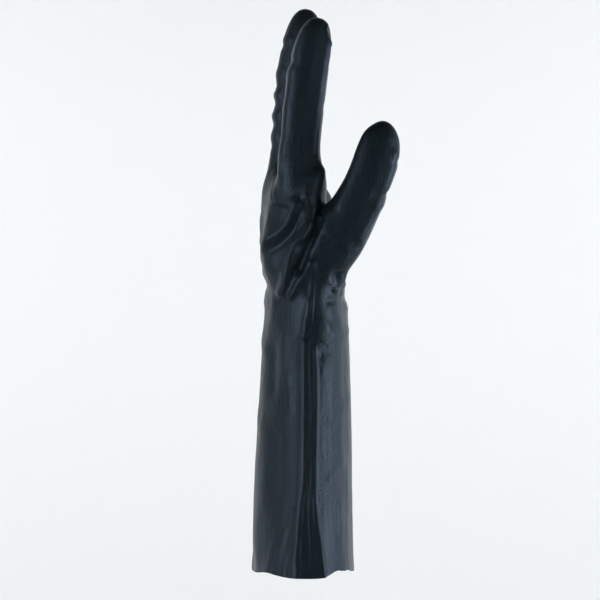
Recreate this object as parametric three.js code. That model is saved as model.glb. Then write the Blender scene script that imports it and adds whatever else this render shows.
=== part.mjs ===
// A chemical-resistant gauntlet glove for the left hand, dipped from rubber in one piece.
// It stands open as it does on a raised hand: cuff below, fingers up, thumb held forward of the palm.
// Millimetres. +Z runs from the cuff's mouth to the fingertips, +X is the palm's side,
// -X the back of the hand, and -Y the thumb's side. The origin is the middle of the cuff's mouth.
import * as THREE from "three";

// Driving dimensions
const GLOVE_LENGTH = 355; // mouth of the cuff to the tip of the middle finger
const CUFF_BREADTH = 114; // across the mouth, from the thumb's side to the little finger's side
const PALM_BREADTH = 98; // across the knuckles' row
const WALL = 1.2; // one even thickness of dipped rubber
const RUBBER = { color: 0x1b1f23, roughness: 0.5, metalness: 0 };

// Sections of the cuff and palm: height, the back's and the palm side's X, the X of the section's
// two ends (near the thumb and near the little finger), half the breadth, how pointed the ends
// are (over 1 is pointed, under 1 is boxy), and how far the columns have moved from even
// spacing to the fingers' own places.
const CUFF_HALF = CUFF_BREADTH / 2;
const PALM_HALF = PALM_BREADTH / 2;
const TUBE_SECTIONS = [
  { z: 0, back: -33.0, front: 32.6, near: 4.5, far: 4, half: CUFF_HALF, point: 1.08, fingered: 0 },
  { z: 20, back: -32.8, front: 32.1, near: 4.5, far: 4, half: CUFF_HALF - 0.8, point: 1.16, fingered: 0 },
  { z: 50, back: -32.3, front: 31.6, near: 4.5, far: 4, half: CUFF_HALF - 2, point: 1.24, fingered: 0 },
  { z: 82, back: -31.0, front: 31.1, near: 5.2, far: 4, half: CUFF_HALF - 3.5, point: 1.24, fingered: 0 },
  { z: 112, back: -28.9, front: 30.6, near: 5.8, far: 4, half: CUFF_HALF - 5.4, point: 1.2, fingered: 0.05 },
  { z: 139, back: -26.8, front: 29.6, near: 6.3, far: 4, half: CUFF_HALF - 7.4, point: 1.15, fingered: 0.12 },
  { z: 160, back: -25.2, front: 28.6, near: 7.0, far: 4, half: CUFF_HALF - 9.2, point: 1.08, fingered: 0.25 },
  { z: 177, back: -23.6, front: 27.6, near: 5.0, far: 4, half: PALM_HALF - 2.0, point: 1.02, fingered: 0.4 },
  { z: 193, back: -26.0, front: 23.5, near: 0.5, far: 4, half: PALM_HALF - 1.0, point: 0.96, fingered: 0.6 },
  { z: 209, back: -27.2, front: 18.0, near: 1.5, far: 3, half: PALM_HALF, point: 0.92, fingered: 0.75 },
  { z: 225, back: -27.2, front: 15.0, near: 4.0, far: 2, half: PALM_HALF - 0.4, point: 0.88, fingered: 0.9 },
  { z: 237, back: -25.7, front: 13.0, near: 0.5, far: 1, half: PALM_HALF - 1.6, point: 0.86, fingered: 1 },
];

// The fingers: where each leaves the palm, where its tip is, and its two thicknesses.
const FINGERS = [
  { name: "index", base: [-3.4, -34.5, 252], tip: [10.8, -40, 347.5], wide: 22.0, thick: 25.4 },
  { name: "middle", base: [-8.8, -10.5, 254], tip: [3.4, -11, GLOVE_LENGTH + 1.2], wide: 22.2, thick: 25.0 },
  { name: "ring", base: [-7.0, 12.8, 251.5], tip: [4.6, 16.5, 343], wide: 21.2, thick: 23.6 },
  { name: "little", base: [-3.0, 34.4, 246], tip: [4.6, 42.0, 318], wide: 19.2, thick: 21.2 },
];
// Rings along a finger: the share of its length, its two sizes there, and the share of its
// forward lean. The root is narrow, so a web stays open between neighbours.
const FINGER_RINGS = [
  { along: 0, thick: 1.05, wide: 0.86, lean: 0 },
  { along: 0.12, thick: 1.0, wide: 0.98, lean: 0.07 },
  { along: 0.28, thick: 1.0, wide: 1.0, lean: 0.17 },
  { along: 0.45, thick: 1.0, wide: 1.0, lean: 0.29 },
  { along: 0.62, thick: 1.0, wide: 1.0, lean: 0.44 },
  { along: 0.77, thick: 0.95, wide: 0.97, lean: 0.63 },
  { along: 0.89, thick: 0.8, wide: 0.84, lean: 0.82 },
  { along: 0.97, thick: 0.5, wide: 0.54, lean: 0.95 },
];

// Rings along the thumb: the middle's place, half its size across the view and half its depth.
const THUMB_RINGS = [
  { x: 25.4, y: -39.6, z: 214.5, across: 15.6, deep: 13.6 },
  { x: 32.7, y: -42, z: 227.5, across: 14.7, deep: 12.8 },
  { x: 38.6, y: -43.5, z: 239.5, across: 14.2, deep: 12.2 },
  { x: 43.2, y: -44.5, z: 251.5, across: 13.9, deep: 11.7 },
  { x: 46.6, y: -45, z: 263.5, across: 13.5, deep: 11.1 },
  { x: 48.8, y: -45, z: 273, across: 11.6, deep: 9.4 },
  { x: 49.8, y: -45, z: 279.4, across: 6.4, deep: 5.2 },
];
const THUMB_TIP = [50.0, -45, 282];
const THUMB_ROW = 7; // the tube section where the thumb's root begins
const THUMB_ROWS = 3; // and how many rows high it is
const THUMB_RING = 12; // vertices round the thumb
const THUMB_START = 225; // degrees: the first of them, at the root's lower corner on the thumb's side
const BALL_SWELL = 1.03; // of the ring between the root and the first ring
const TIP_SHARE = 0.4; // size of the four innermost points of the tip

// How the columns of the tube are shared out, counting from the thumb's side
const FINGER_COLUMNS = 3; // vertices for one finger on the palm's side, and as many on the back
const RUN = FINGERS.length * FINGER_COLUMNS; // vertices along the palm's side of a ring
const RING = 2 * RUN + 2; // and one at the middle of each narrow side
const THUMB_SIDE = RING - 1; // the ring vertex at the middle of the thumb's side
const RIDGE_CROWDING = 0.35; // how much closer the columns stand at the two ends of a section
const FINGER_SPREAD = 0.9; // a finger's outer columns stand at this share of its half width
const SIDE_LIMIT = 0.97; // no column of a run comes nearer to the narrow side than this share
const BACK_FINGERED = 0.5; // the back's columns follow the fingers half as far as the palm's

const degrees = (d) => (d * Math.PI) / 180;
const mix = (a, b, t) => a + (b - a) * t;
const signedPower = (v, p) => Math.sign(v) * Math.abs(v) ** p;

// A closed ring of n control points shrinks by this much when it is subdivided smooth.
const ringGrowth = (n) => 3 / (2 + Math.cos((2 * Math.PI) / n));

// The cage: control points and four-sided faces that face outwards.
const cage = { points: [], faces: [] };
function addPoint(x, y, z) {
  cage.points.push(new THREE.Vector3(x, y, z));
  return cage.points.length - 1;
}

// A band of faces between two rings with the same number of vertices.
function bridge(lower, upper, skip = () => false) {
  const n = lower.length;
  for (let i = 0; i < n; i++) {
    const j = (i + 1) % n;
    if (!skip(i)) cage.faces.push([lower[i], lower[j], upper[j], upper[i]]);
  }
}

// The Y of each vertex of the palm's run where it meets the fingers.
function fingerPlaces() {
  return FINGERS.flatMap(({ base, wide }) => {
    const spread = (wide / 2) * FINGER_SPREAD;
    return [base[1] - spread, base[1], base[1] + spread];
  });
}

// The angle of each vertex of a run round a section, from the thumb's side at -90 degrees.
function runAngles(half, fingered) {
  return fingerPlaces().map((y, i) => {
    const even = (i + 1) / (RUN + 1);
    const crowded = even - (RIDGE_CROWDING * Math.sin(2 * Math.PI * even)) / (2 * Math.PI);
    const atFinger = Math.asin(THREE.MathUtils.clamp(y / half, -SIDE_LIMIT, SIDE_LIMIT));
    return mix(degrees(-90 + 180 * crowded), atFinger, fingered);
  });
}

// One ring of the cuff or palm: the palm's run, the little finger's side, the back's run, the
// thumb's side.
function tubeRing({ z, back, front, near, far, half, point, fingered }) {
  const middle = (front + back) / 2;
  const deep = ((front - back) / 2) * ringGrowth(RING);
  const palmRun = runAngles(half, fingered);
  const backRun = runAngles(half, fingered * BACK_FINGERED).reverse();
  const angles = [...palmRun, Math.PI / 2, ...backRun.map((angle) => Math.PI - angle), -Math.PI / 2];
  return angles.map((angle) => {
    const side = Math.sin(angle);
    const shift = (side < 0 ? near : far) - middle;
    const x = middle + deep * signedPower(Math.cos(angle), point) + shift * side ** 2;
    return addPoint(x, half * ringGrowth(RING) * side, z);
  });
}

// One ring round a finger: its eight vertices start at the thumb's side of the palm's face.
const FINGER_ANGLES = [-45, 0, 45, 90, 135, 180, 225, 270].map(degrees);
function fingerRing(finger, { along, thick, wide, lean }, next) {
  const at = (row) =>
    new THREE.Vector3(
      mix(finger.base[0], finger.tip[0], row.lean),
      mix(finger.base[1], finger.tip[1], row.along),
      mix(finger.base[2], finger.tip[2], row.along),
    );
  const middle = at({ along, lean });
  const axis = at(next).sub(middle).normalize();
  const across = new THREE.Vector3(0, 1, 0).addScaledVector(axis, -axis.y).normalize();
  const forward = new THREE.Vector3().crossVectors(across, axis);
  const grow = ringGrowth(FINGER_ANGLES.length);
  return FINGER_ANGLES.map((angle) => {
    const p = middle
      .clone()
      .addScaledVector(forward, (finger.thick / 2) * thick * grow * Math.cos(angle))
      .addScaledVector(across, (finger.wide / 2) * wide * grow * Math.sin(angle));
    return addPoint(p.x, p.y, p.z);
  });
}

// A finger's rings above its root, closed over the tip by four faces round one vertex.
function addFinger(finger, root) {
  let last = root;
  FINGER_RINGS.slice(1).forEach((row, i) => {
    const next = FINGER_RINGS[i + 2] ?? { along: 1, lean: 1 };
    const ring = fingerRing(finger, row, next);
    bridge(last, ring);
    last = ring;
  });
  const tip = addPoint(...finger.tip);
  const count = last.length;
  for (let i = 0; i < count; i += 2) {
    cage.faces.push([last[(i + count - 1) % count], last[i], last[i + 1], tip]);
  }
}

// The thumb grows out of a patch three columns wide and three rows high.
function thumbRoot(rings) {
  const columns = [THUMB_SIDE, 0, 1, 2];
  const [low, second, third, high] = rings.slice(THUMB_ROW, THUMB_ROW + THUMB_ROWS + 1);
  return [
    ...columns.map((c) => low[c]),
    second[2],
    third[2],
    ...[...columns].reverse().map((c) => high[c]),
    third[THUMB_SIDE],
    second[THUMB_SIDE],
  ];
}

// A point on the thumb's ring number i, at an angle round it and a share of its size.
const THUMB_MIDDLES = [...THUMB_RINGS.map(({ x, y, z }) => [x, y, z]), THUMB_TIP].map(
  (place) => new THREE.Vector3(...place),
);
function thumbPoint(i, angle, share = 1) {
  const { across, deep } = THUMB_RINGS[i];
  const grow = ringGrowth(THUMB_RING) * share;
  const axis = THUMB_MIDDLES[i + 1].clone().sub(THUMB_MIDDLES[Math.max(i - 1, 0)]).normalize();
  const sideways = new THREE.Vector3(0, 1, 0).addScaledVector(axis, -axis.y).normalize();
  const inward = new THREE.Vector3().crossVectors(axis, sideways);
  return THUMB_MIDDLES[i]
    .clone()
    .addScaledVector(sideways, deep * grow * Math.cos(angle))
    .addScaledVector(inward, across * grow * Math.sin(angle));
}

// A ring halfway up the ball of the thumb, swollen a little beyond the straight way.
function ballSpots(root, spots) {
  const halfway = root.map((v, k) => cage.points[v].clone().lerp(spots[k], 0.5));
  const middle = new THREE.Vector3();
  halfway.forEach((p) => middle.addScaledVector(p, 1 / halfway.length));
  return halfway.map((p) => p.sub(middle).multiplyScalar(BALL_SWELL).add(middle));
}

// The thumb's rings above its root, closed over the tip.
function addThumb(root) {
  const rows = THUMB_RINGS.map((_, i) =>
    root.map((_, k) => thumbPoint(i, degrees(THUMB_START + (360 / THUMB_RING) * k))),
  );
  rows.unshift(ballSpots(root, rows[0]));
  let last = root;
  rows.forEach((spots) => {
    const ring = spots.map((p) => addPoint(p.x, p.y, p.z));
    bridge(last, ring);
    last = ring;
  });
  // Nine faces over the tip, round four inner vertices
  const end = THUMB_RINGS.length - 1;
  const rise = THUMB_MIDDLES[end + 1].clone().sub(THUMB_MIDDLES[end]);
  const inner = [0, 1, 2, 3].map((quarter) => {
    const p = thumbPoint(end, degrees(THUMB_START + 90 * quarter), TIP_SHARE).add(rise);
    return addPoint(p.x, p.y, p.z);
  });
  inner.forEach((corner, quarter) => {
    const start = (quarter * THUMB_RING) / 4;
    const before = last[(start + THUMB_RING - 1) % THUMB_RING];
    cage.faces.push([before, last[start], last[start + 1], corner]);
    cage.faces.push([last[start + 1], last[start + 2], inner[(quarter + 1) % 4], corner]);
  });
  cage.faces.push(inner);
}

// The whole glove's cage: the tube of cuff and palm, the webs, the fingers and the thumb.
function buildCage() {
  const rings = TUBE_SECTIONS.map(tubeRing);
  // The top ring of the palm is made of the fingers' own root rings, and the webs join them.
  const roots = FINGERS.map((f) => fingerRing(f, FINGER_RINGS[0], FINGER_RINGS[1]));
  const top = [
    ...roots.flatMap((r) => [r[0], r[1], r[2]]),
    roots.at(-1)[3],
    ...[...roots].reverse().flatMap((r) => [r[4], r[5], r[6]]),
    roots[0][7],
  ];
  rings.push(top);
  const inThumb = (row, column) =>
    row >= THUMB_ROW && row < THUMB_ROW + THUMB_ROWS && (column === THUMB_SIDE || column < 2);
  rings.slice(1).forEach((ring, row) => bridge(rings[row], ring, (column) => inThumb(row, column)));
  roots.slice(1).forEach((right, i) => {
    const left = roots[i];
    cage.faces.push([left[2], right[0], right[7], left[3]]);
    cage.faces.push([left[3], right[7], right[6], left[4]]);
  });
  FINGERS.forEach((finger, i) => addFinger(finger, roots[i]));
  addThumb(thumbRoot(rings));
  return cage;
}

const edgeKey = (a, b) => (a < b ? `${a},${b}` : `${b},${a}`);

// The edges of a mesh, each with its two vertices, its middle and the faces beside it.
function edgesOf({ points, faces }) {
  const edges = new Map();
  faces.forEach((face, f) => {
    face.forEach((a, i) => {
      const b = face[(i + 1) % face.length];
      const key = edgeKey(a, b);
      if (!edges.has(key)) {
        edges.set(key, { a, b, middle: points[a].clone().lerp(points[b], 0.5), faces: [] });
      }
      edges.get(key).faces.push(f);
    });
  });
  return edges;
}

// One round of Catmull-Clark subdivision; the mouth's edge stays on its own curve.
function subdivide({ points, faces }) {
  const edges = edgesOf({ points, faces });
  const facePoints = faces.map((face) => {
    const middle = new THREE.Vector3();
    face.forEach((v) => middle.addScaledVector(points[v], 1 / face.length));
    return middle;
  });
  const around = points.map(() => ({ faces: new Set(), mids: [], rim: [] }));
  edges.forEach((edge) => {
    for (const v of [edge.a, edge.b]) {
      around[v].mids.push(edge.middle);
      edge.faces.forEach((f) => around[v].faces.add(f));
      if (edge.faces.length === 1) around[v].rim.push(edge.middle);
    }
  });
  const out = points.map((p, v) => {
    const { faces: near, mids, rim } = around[v];
    if (rim.length === 2) return p.clone().lerp(rim[0].clone().lerp(rim[1], 0.5), 0.5);
    const n = mids.length;
    const moved = p.clone().multiplyScalar(n - 3);
    near.forEach((f) => moved.addScaledVector(facePoints[f], 1 / near.size));
    mids.forEach((middle) => moved.addScaledVector(middle, 2 / n));
    return moved.divideScalar(n);
  });
  edges.forEach((edge) => {
    const spot = edge.middle.clone();
    if (edge.faces.length === 2) {
      const [f, g] = edge.faces;
      spot.lerp(facePoints[f].clone().lerp(facePoints[g], 0.5), 0.5);
    }
    edge.index = out.push(spot) - 1;
  });
  const quads = faces.flatMap((face, f) => {
    const centre = out.push(facePoints[f]) - 1;
    return face.map((v, i) => {
      const after = edges.get(edgeKey(v, face[(i + 1) % face.length])).index;
      const before = edges.get(edgeKey(v, face[(i + face.length - 1) % face.length])).index;
      return [v, after, centre, before];
    });
  });
  return { points: out, faces: quads };
}

// The normal at each vertex, from the faces round it.
function vertexNormals({ points, faces }) {
  const normals = points.map(() => new THREE.Vector3());
  faces.forEach((face) => {
    const [a, b, c, d] = face.map((v) => points[v]);
    const n = new THREE.Vector3().crossVectors(c.clone().sub(a), d.clone().sub(b));
    face.forEach((v) => normals[v].add(n));
  });
  return normals.map((n) => n.normalize());
}

// Soft swellings and hollows, moved along the surface: the middle, the reach along X, Y and Z
// and the height, which is negative for a hollow.
const KNUCKLES = FINGERS.map(({ name, base }) => ({
  name: `${name} knuckle`,
  at: [base[0] - 14, base[1], base[2] - 12],
  reach: [12, 9, 10],
  height: 1.8,
}));
const PADS = [
  ...KNUCKLES,
  { name: "ball of the thumb", at: [32, -38, 197], reach: [14, 12, 18], height: 1.8 },
  { name: "edge of the palm", at: [18, 32, 231], reach: [15, 17, 24], height: 6.0 },
  { name: "heel of the palm", at: [22, 26, 190], reach: [14, 18, 18], height: 2.4 },
  { name: "hollow of the palm", at: [16, 2, 214], reach: [12, 17, 24], height: -3.2 },
];

// Folds, ribs and creases seen from the thumb's side: a path of X and Z, half the width and
// the height, which is negative for a crease. They fade out at both ends.
const SECOND_FOLD = [[5, 228], [2, 219], [-7, 208], [-9, 198], [-12, 186], [-17, 176]];
const MOULD_RIB = [[9, 205], [7, 172], [6, 142], [5, 87], [4, 50]];
const FOLDS = [
  { name: "first fold beside the thumb", path: [[-5, 231], [-13, 216], [-22, 206]], width: 6, height: 1.5 },
  { name: "second fold", path: SECOND_FOLD, width: 6, height: 1.8 },
  { name: "third fold", path: [[-3, 188], [-8, 177]], width: 5, height: 1.0 },
  { name: "index root", path: [[10, 260], [5, 252], [1, 244], [2, 234]], width: 7, height: -1.6 },
  { name: "palm to thumb", path: [[12, 228], [5, 213], [0, 200], [-3, 194]], width: 7, height: -1.2 },
  { name: "wrist", path: [[-27, 186], [-18, 176], [-8, 170]], width: 8, height: -1.3 },
  { name: "rib left by the mould", path: MOULD_RIB, width: 5, height: 1.0 },
  { name: "swelling beside the rib", path: [[-7, 130], [-4, 96], [-6, 60]], width: 9, height: 1.0 },
  { name: "hollow beside the rib", path: [[14, 124], [16, 90], [18, 50]], width: 8, height: -1.0 },
  { name: "roll under the thumb", path: [[34, 185], [22, 182]], width: 6, height: 1.6 },
  { name: "crease under the roll", path: [[32, 171], [20, 169]], width: 6, height: -1.0 },
];
const FOLD_FADE = 8; // how far a fold runs out past its ends
const FOLD_SIDE = -20; // folds lie on the thumb's side of this Y
const HEM_BAND = 12; // the relief fades out over this height above the hem

// The relief of all swellings and hollows at a point.
function padHeight(p) {
  return PADS.reduce((sum, { at, reach, height }) => {
    const away = p.toArray().map((value, i) => (value - at[i]) / reach[i]);
    return sum + height * Math.exp(-(away[0] ** 2 + away[1] ** 2 + away[2] ** 2));
  }, 0);
}

// How far a point lies from a path across and, past its ends, along it.
function pathOffset(path, x, z) {
  let best = { across: Infinity, past: 0 };
  path.slice(1).forEach(([bx, bz], i) => {
    const [ax, az] = path[i];
    const length = Math.hypot(bx - ax, bz - az);
    const along = ((x - ax) * (bx - ax) + (z - az) * (bz - az)) / length;
    const kept = THREE.MathUtils.clamp(along, 0, length);
    const share = kept / length;
    const across = Math.hypot(x - mix(ax, bx, share), z - mix(az, bz, share));
    if (across < best.across) best = { across, past: Math.abs(along - kept) };
  });
  return best;
}

// The relief of all folds at a point; they lie only where the surface faces the thumb's side.
function foldHeight(p, normal) {
  const facing = THREE.MathUtils.smoothstep(-normal.y, 0.1, 0.6);
  if (facing === 0 || p.y > FOLD_SIDE) return 0;
  return FOLDS.reduce((sum, { path, width, height }) => {
    const { across, past } = pathOffset(path, p.x, p.z);
    return sum + facing * height * Math.exp(-((across / width) ** 2) - (past / FOLD_FADE) ** 2);
  }, 0);
}

// The skin with its pads and folds pushed out along the surface.
function relieve(skin) {
  const normals = vertexNormals(skin);
  skin.points.forEach((p, v) => {
    const hem = THREE.MathUtils.smoothstep(p.z, 0, HEM_BAND);
    p.addScaledVector(normals[v], hem * (padHeight(p) + foldHeight(p, normals[v])));
  });
  return skin;
}

// The wall: the skin, a copy of it moved inwards, and a flat rim round the mouth that joins them.
function wallGeometry(skin) {
  const normals = vertexNormals(skin);
  const count = skin.points.length;
  const inner = skin.points.map((p, v) => {
    const n = normals[v];
    if (p.z < 0.01) n.setZ(0).normalize(); // the rim stays level
    return p.clone().addScaledVector(n, -WALL);
  });
  const triangles = [];
  const quad = (a, b, c, d) => triangles.push(a, b, c, a, c, d);
  skin.faces.forEach((face) => {
    const [p, q, r, s] = face.map((v) => skin.points[v]);
    const split = p.distanceTo(r) <= q.distanceTo(s) ? 0 : 1; // along the shorter diagonal
    const [a, b, c, d] = [0, 1, 2, 3].map((i) => face[(i + split) % 4]);
    quad(a, b, c, d);
    quad(a + count, d + count, c + count, b + count);
  });
  edgesOf(skin).forEach(({ a, b, faces }) => {
    if (faces.length === 1) quad(b, a, a + count, b + count);
  });
  const geometry = new THREE.BufferGeometry().setFromPoints([...skin.points, ...inner]);
  geometry.setIndex(triangles);
  geometry.computeVertexNormals();
  return geometry;
}

const skin = relieve(subdivide(buildCage()));
const shell = new THREE.Mesh(wallGeometry(skin), new THREE.MeshStandardMaterial(RUBBER));
shell.name = "glove_shell";

const glove = new THREE.Group();
glove.add(shell);

export default glove;
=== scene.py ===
"""Visual model of a chemical-resistant gauntlet glove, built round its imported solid.

The frame is in metres: +Z runs from the cuff's mouth to the fingertips, +X is the palm's side,
-X the back of the hand and -Y the thumb's side. The tables are in millimetres.
"""

import math
from collections import namedtuple

import bmesh
import bpy
import numpy as np
from mathutils import Matrix, Vector, noise


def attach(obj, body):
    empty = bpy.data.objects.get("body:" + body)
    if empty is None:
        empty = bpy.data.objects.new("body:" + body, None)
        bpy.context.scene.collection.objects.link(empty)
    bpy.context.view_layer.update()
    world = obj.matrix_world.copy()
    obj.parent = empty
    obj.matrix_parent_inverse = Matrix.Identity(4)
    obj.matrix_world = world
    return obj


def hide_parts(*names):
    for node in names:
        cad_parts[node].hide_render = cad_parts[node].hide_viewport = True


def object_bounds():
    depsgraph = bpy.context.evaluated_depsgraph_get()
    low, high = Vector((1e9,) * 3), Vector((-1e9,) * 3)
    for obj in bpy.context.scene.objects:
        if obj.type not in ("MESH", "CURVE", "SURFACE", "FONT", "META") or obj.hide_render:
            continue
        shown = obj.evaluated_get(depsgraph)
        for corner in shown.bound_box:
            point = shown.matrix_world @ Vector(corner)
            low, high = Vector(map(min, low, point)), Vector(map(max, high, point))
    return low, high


bl_info = {
    "name": "Chemical-resistant glove",
    "version": (1, 0, 0),
    "blender": (4, 5, 0),
    "location": "View3D > Sidebar > Glove",
    "description": "Models a dipped rubber gauntlet glove and the studio that it is shown in",
    "category": "Add Mesh",
}

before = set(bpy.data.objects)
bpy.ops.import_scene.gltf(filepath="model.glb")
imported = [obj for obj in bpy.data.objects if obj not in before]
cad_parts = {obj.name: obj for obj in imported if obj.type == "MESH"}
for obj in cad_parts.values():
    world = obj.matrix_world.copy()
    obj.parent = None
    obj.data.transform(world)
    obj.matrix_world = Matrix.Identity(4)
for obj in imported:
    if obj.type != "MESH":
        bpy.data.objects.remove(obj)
CAD_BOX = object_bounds()
MM = 0.001
NODE = "glove_shell"


def from_hex(colour):
    """An sRGB colour such as 1b1f23 as linear red, green, blue and alpha."""
    parts = [int(colour[i : i + 2], 16) / 255 for i in (0, 2, 4)]
    linear = [c / 12.92 if c <= 0.04045 else ((c + 0.055) / 1.055) ** 2.4 for c in parts]
    return (*linear, 1.0)


# Sizes and colours that a user would change


class GloveSizes(bpy.types.PropertyGroup):
    length: bpy.props.FloatProperty(
        name="Length",
        description="From the mouth of the cuff to the tip of the middle finger",
        default=CAD_BOX[1][2] - CAD_BOX[0][2],
        unit="LENGTH",
        subtype="DISTANCE",
    )
    cuff_breadth: bpy.props.FloatProperty(
        name="Cuff breadth",
        description="Across the mouth, from the thumb's side to the little finger's side",
        default=0.114,
        unit="LENGTH",
        subtype="DISTANCE",
    )
    palm_breadth: bpy.props.FloatProperty(
        name="Palm breadth",
        description="Across the knuckles",
        default=0.098,
        unit="LENGTH",
        subtype="DISTANCE",
    )
    wall: bpy.props.FloatProperty(
        name="Wall",
        description="Thickness of the dipped rubber",
        default=0.0012,
        unit="LENGTH",
        subtype="DISTANCE",
        precision=4,
    )
    folds: bpy.props.FloatProperty(
        name="Folds",
        description="Height of the folds and wrinkles, as a share of the modelled glove's",
        default=1.0,
        min=0.0,
        max=1.5,
        subtype="FACTOR",
    )
    smoothness: bpy.props.IntProperty(
        name="Smoothness",
        description="Rounds of subdivision of the glove's cage",
        default=3,
        min=1,
        max=4,
    )


class GloveFinish(bpy.types.PropertyGroup):
    rubber: bpy.props.FloatVectorProperty(
        name="Rubber",
        description="Colour of the dipped rubber outside",
        default=from_hex("131e22"),
        size=4,
        min=0.0,
        max=1.0,
        subtype="COLOR",
    )
    inside: bpy.props.FloatVectorProperty(
        name="Inside",
        description="Colour of the matt inside",
        default=from_hex("1a2023"),
        size=4,
        min=0.0,
        max=1.0,
        subtype="COLOR",
    )
    roughness: bpy.props.FloatProperty(
        name="Roughness",
        description="How far the rubber spreads the lights that it reflects",
        default=0.42,
        min=0.0,
        max=1.0,
        subtype="FACTOR",
    )
    paper: bpy.props.FloatVectorProperty(
        name="Backdrop",
        description="Colour of the floor and the backdrop",
        default=from_hex("f5f6f6"),
        size=4,
        min=0.0,
        max=1.0,
        subtype="COLOR",
    )


# The cage of the glove, in millimetres. Sections of the cuff and palm: height, the back's and
# the palm side's X, the X of the two ends (near the thumb, near the little finger), which breadth
# the section follows and how much less half of it is there, how pointed the ends are (over 1 is
# pointed) and how far the columns have moved to the fingers' own places.
Section = namedtuple("Section", "z back front near far of less point fingered")
TUBE_SECTIONS = [
    Section(0, -33.0, 32.6, 4.5, 4, "cuff", 0, 1.08, 0),
    Section(20, -32.8, 32.1, 4.5, 4, "cuff", 0.8, 1.16, 0),
    Section(50, -32.3, 31.6, 4.5, 4, "cuff", 2.0, 1.24, 0),
    Section(82, -31.0, 31.1, 5.2, 4, "cuff", 3.5, 1.24, 0),
    Section(112, -28.9, 30.6, 5.8, 4, "cuff", 5.4, 1.20, 0.05),
    Section(139, -26.8, 29.6, 6.3, 4, "cuff", 7.4, 1.15, 0.12),
    Section(160, -25.2, 28.6, 7.0, 4, "cuff", 9.2, 1.08, 0.25),
    Section(177, -23.6, 27.6, 5.0, 4, "palm", 2.0, 1.02, 0.4),
    Section(193, -26.0, 23.5, 0.5, 4, "palm", 1.0, 0.96, 0.6),
    Section(209, -27.2, 18.0, 1.5, 3, "palm", 0, 0.92, 0.75),
    Section(225, -27.2, 15.0, 4.0, 2, "palm", 0.4, 0.88, 0.9),
    Section(237, -25.7, 13.0, 0.5, 1, "palm", 1.6, 0.86, 1),
]
DESIGN_LENGTH = 355  # the length that the tables are drawn for

# Where each finger leaves the palm, where its tip is, and its two thicknesses
Finger = namedtuple("Finger", "name base tip wide thick")
FINGERS = [
    Finger("index", (-3.4, -34.5, 252), (10.8, -40, 347.5), 22.0, 25.4),
    Finger("middle", (-8.8, -10.5, 254), (3.4, -11, 356.2), 22.2, 25.0),
    Finger("ring", (-7.0, 12.8, 251.5), (4.6, 16.5, 343), 21.2, 23.6),
    Finger("little", (-3.0, 34.4, 246), (4.6, 42.0, 318), 19.2, 21.2),
]
# Rings along a finger: the share of its length, its two sizes there and its forward lean
FingerRing = namedtuple("FingerRing", "along thick wide lean")
FINGER_RINGS = [
    FingerRing(0, 1.05, 0.86, 0),
    FingerRing(0.12, 1.0, 0.98, 0.07),
    FingerRing(0.28, 1.0, 1.0, 0.17),
    FingerRing(0.45, 1.0, 1.0, 0.29),
    FingerRing(0.62, 1.0, 1.0, 0.44),
    FingerRing(0.77, 0.95, 0.97, 0.63),
    FingerRing(0.89, 0.8, 0.84, 0.82),
    FingerRing(0.97, 0.5, 0.54, 0.95),
]
FINGER_END = FingerRing(1, 0, 0, 1)

# Rings along the thumb: the middle's place, half its size across the view and half its depth
ThumbRing = namedtuple("ThumbRing", "x y z across deep")
THUMB_RINGS = [
    ThumbRing(25.4, -39.6, 214.5, 15.6, 13.6),
    ThumbRing(32.7, -42, 227.5, 14.7, 12.8),
    ThumbRing(38.6, -43.5, 239.5, 14.2, 12.2),
    ThumbRing(43.2, -44.5, 251.5, 13.9, 11.7),
    ThumbRing(46.6, -45, 263.5, 13.5, 11.1),
    ThumbRing(48.8, -45, 273, 11.6, 9.4),
    ThumbRing(49.8, -45, 279.4, 6.4, 5.2),
]
THUMB_TIP = (50.0, -45, 282)
THUMB_ROWS = (7, 8, 9, 10)  # the sections that the thumb's root stands on
THUMB_START = 225  # degrees: the first vertex of a ring, at the root's lower corner
BALL_SWELL = 1.03  # of the ring between the root and the first ring
TIP_SHARE = 0.4  # size of the four inner points of the thumb's tip

# How the columns of the tube are numbered and shared out, from the thumb's side
FINGER_COLUMNS = 3  # for each finger on the palm's side, and as many on the back
RUN = FINGER_COLUMNS * len(FINGERS)  # columns along the palm's side
RING = 2 * RUN + 2  # and one at the middle of each narrow side
LITTLE_SIDE = RUN
THUMB_SIDE = RING - 1
THUMB_COLUMNS = (THUMB_SIDE, 0, 1, 2)
TOP_ROW = len(TUBE_SECTIONS)
MIDDLE_LABEL = 100  # added to a column's number for the row between palm and back
RIDGE_CROWDING = 0.35  # how much closer the columns stand at the two ends of a section
FINGER_SPREAD = 0.9  # a finger's outer columns stand at this share of its half width
SIDE_LIMIT = 0.97  # no column comes nearer to the narrow side than this share
BACK_FINGERED = 0.5  # the back's columns move to the fingers by this share of the palm's


def mix(a, b, t):
    """The value, or place, at a share t of the way from a to b."""
    return a + (b - a) * t


def signed_power(value, power):
    """A power of the value's size that keeps its sign."""
    return math.copysign(abs(value) ** power, value)


def ring_growth(n):
    """A closed ring of n control points shrinks by this much when it is subdivided smooth."""
    return 3 / (2 + math.cos(2 * math.pi / n))


def finger_places():
    """The Y of each column of the palm's side where it meets the fingers."""
    spreads = [(f, f.wide / 2 * FINGER_SPREAD) for f in FINGERS]
    return [y for f, s in spreads for y in (f.base[1] - s, f.base[1], f.base[1] + s)]


def run_angles(half, fingered):
    """The angle of each column of one side of a section, from the thumb's side at -90 degrees."""
    angles = []
    for i, y in enumerate(finger_places()):
        even = (i + 1) / (RUN + 1)
        crowded = even - RIDGE_CROWDING * math.sin(2 * math.pi * even) / (2 * math.pi)
        at_finger = math.asin(min(max(y / half, -SIDE_LIMIT), SIDE_LIMIT))
        angles.append(mix(math.radians(-90 + 180 * crowded), at_finger, fingered))
    return angles


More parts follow.
